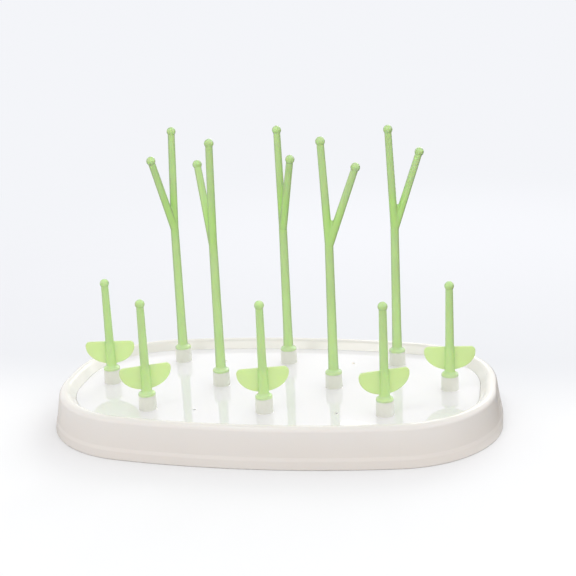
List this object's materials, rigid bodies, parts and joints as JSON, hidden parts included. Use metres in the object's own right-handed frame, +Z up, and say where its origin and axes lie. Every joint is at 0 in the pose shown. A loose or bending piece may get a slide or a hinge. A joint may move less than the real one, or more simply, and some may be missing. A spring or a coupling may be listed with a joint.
{
  "type": "bottle drying rack",
  "caption": "Countertop drying rack for baby bottles: oblong drip tray, lift-out drainer plate with round sockets, and tall forked and short leaf pegs that turn in them.",
  "frame": {"origin": "middle of the tray's footprint, on the table it stands on", "axes": "+X along the tray's length, +Y towards the back row of tall pegs, +Z up; -Y is the front, where the short pegs stand"},
  "size_m": [0.312, 0.1836, 0.1962],
  "materials": {
    "tray_plastic": "glossy warm off-white moulded plastic",
    "plate_plastic": "glossy white moulded plastic",
    "peg_plastic": "slightly translucent pale green moulded plastic, satin to glossy"
  },
  "bodies": {
    "drip_tray": {"drip_tray": "tray_plastic"},
    "drainer_plate": {"drainer_plate": "plate_plastic"},
    "tall_peg_1": {"tall_peg_1": "peg_plastic"},
    "tall_peg_2": {"tall_peg_2": "peg_plastic"},
    "tall_peg_3": {"tall_peg_3": "peg_plastic"},
    "tall_peg_4": {"tall_peg_4": "peg_plastic"},
    "tall_peg_5": {"tall_peg_5": "peg_plastic"},
    "short_peg_1": {"short_peg_1": "peg_plastic"},
    "short_peg_2": {"short_peg_2": "peg_plastic"},
    "short_peg_3": {"short_peg_3": "peg_plastic"},
    "short_peg_4": {"short_peg_4": "peg_plastic"},
    "short_peg_5": {"short_peg_5": "peg_plastic"}
  },
  "joints": [
    {"name": "plate_lift", "type": "slide", "parent": "drip_tray", "child": "drainer_plate", "axis": [0, 0, 1], "range_m": [0, 0.035]},
    {"name": "tall_peg_1_turn", "type": "hinge", "parent": "drainer_plate", "child": "tall_peg_1", "pos_m": [-0.08, 0.047, 0.031], "axis": [0, 0, 1], "continuous": true},
    {"name": "tall_peg_2_turn", "type": "hinge", "parent": "drainer_plate", "child": "tall_peg_2", "pos_m": [-0.04, 0, 0.031], "axis": [0, 0, 1], "continuous": true},
    {"name": "tall_peg_3_turn", "type": "hinge", "parent": "drainer_plate", "child": "tall_peg_3", "pos_m": [0, 0.047, 0.031], "axis": [0, 0, 1], "continuous": true},
    {"name": "tall_peg_4_turn", "type": "hinge", "parent": "drainer_plate", "child": "tall_peg_4", "pos_m": [0.04, 0, 0.031], "axis": [0, 0, 1], "continuous": true},
    {"name": "tall_peg_5_turn", "type": "hinge", "parent": "drainer_plate", "child": "tall_peg_5", "pos_m": [0.08, 0.047, 0.031], "axis": [0, 0, 1], "continuous": true},
    {"name": "short_peg_1_turn", "type": "hinge", "parent": "drainer_plate", "child": "short_peg_1", "pos_m": [-0.12, 0, 0.031], "axis": [0, 0, 1], "continuous": true},
    {"name": "short_peg_2_turn", "type": "hinge", "parent": "drainer_plate", "child": "short_peg_2", "pos_m": [-0.08, -0.047, 0.031], "axis": [0, 0, 1], "continuous": true},
    {"name": "short_peg_3_turn", "type": "hinge", "parent": "drainer_plate", "child": "short_peg_3", "pos_m": [0, -0.047, 0.031], "axis": [0, 0, 1], "continuous": true},
    {"name": "short_peg_4_turn", "type": "hinge", "parent": "drainer_plate", "child": "short_peg_4", "pos_m": [0.08, -0.047, 0.031], "axis": [0, 0, 1], "continuous": true},
    {"name": "short_peg_5_turn", "type": "hinge", "parent": "drainer_plate", "child": "short_peg_5", "pos_m": [0.12, 0, 0.031], "axis": [0, 0, 1], "continuous": true}
  ]
}
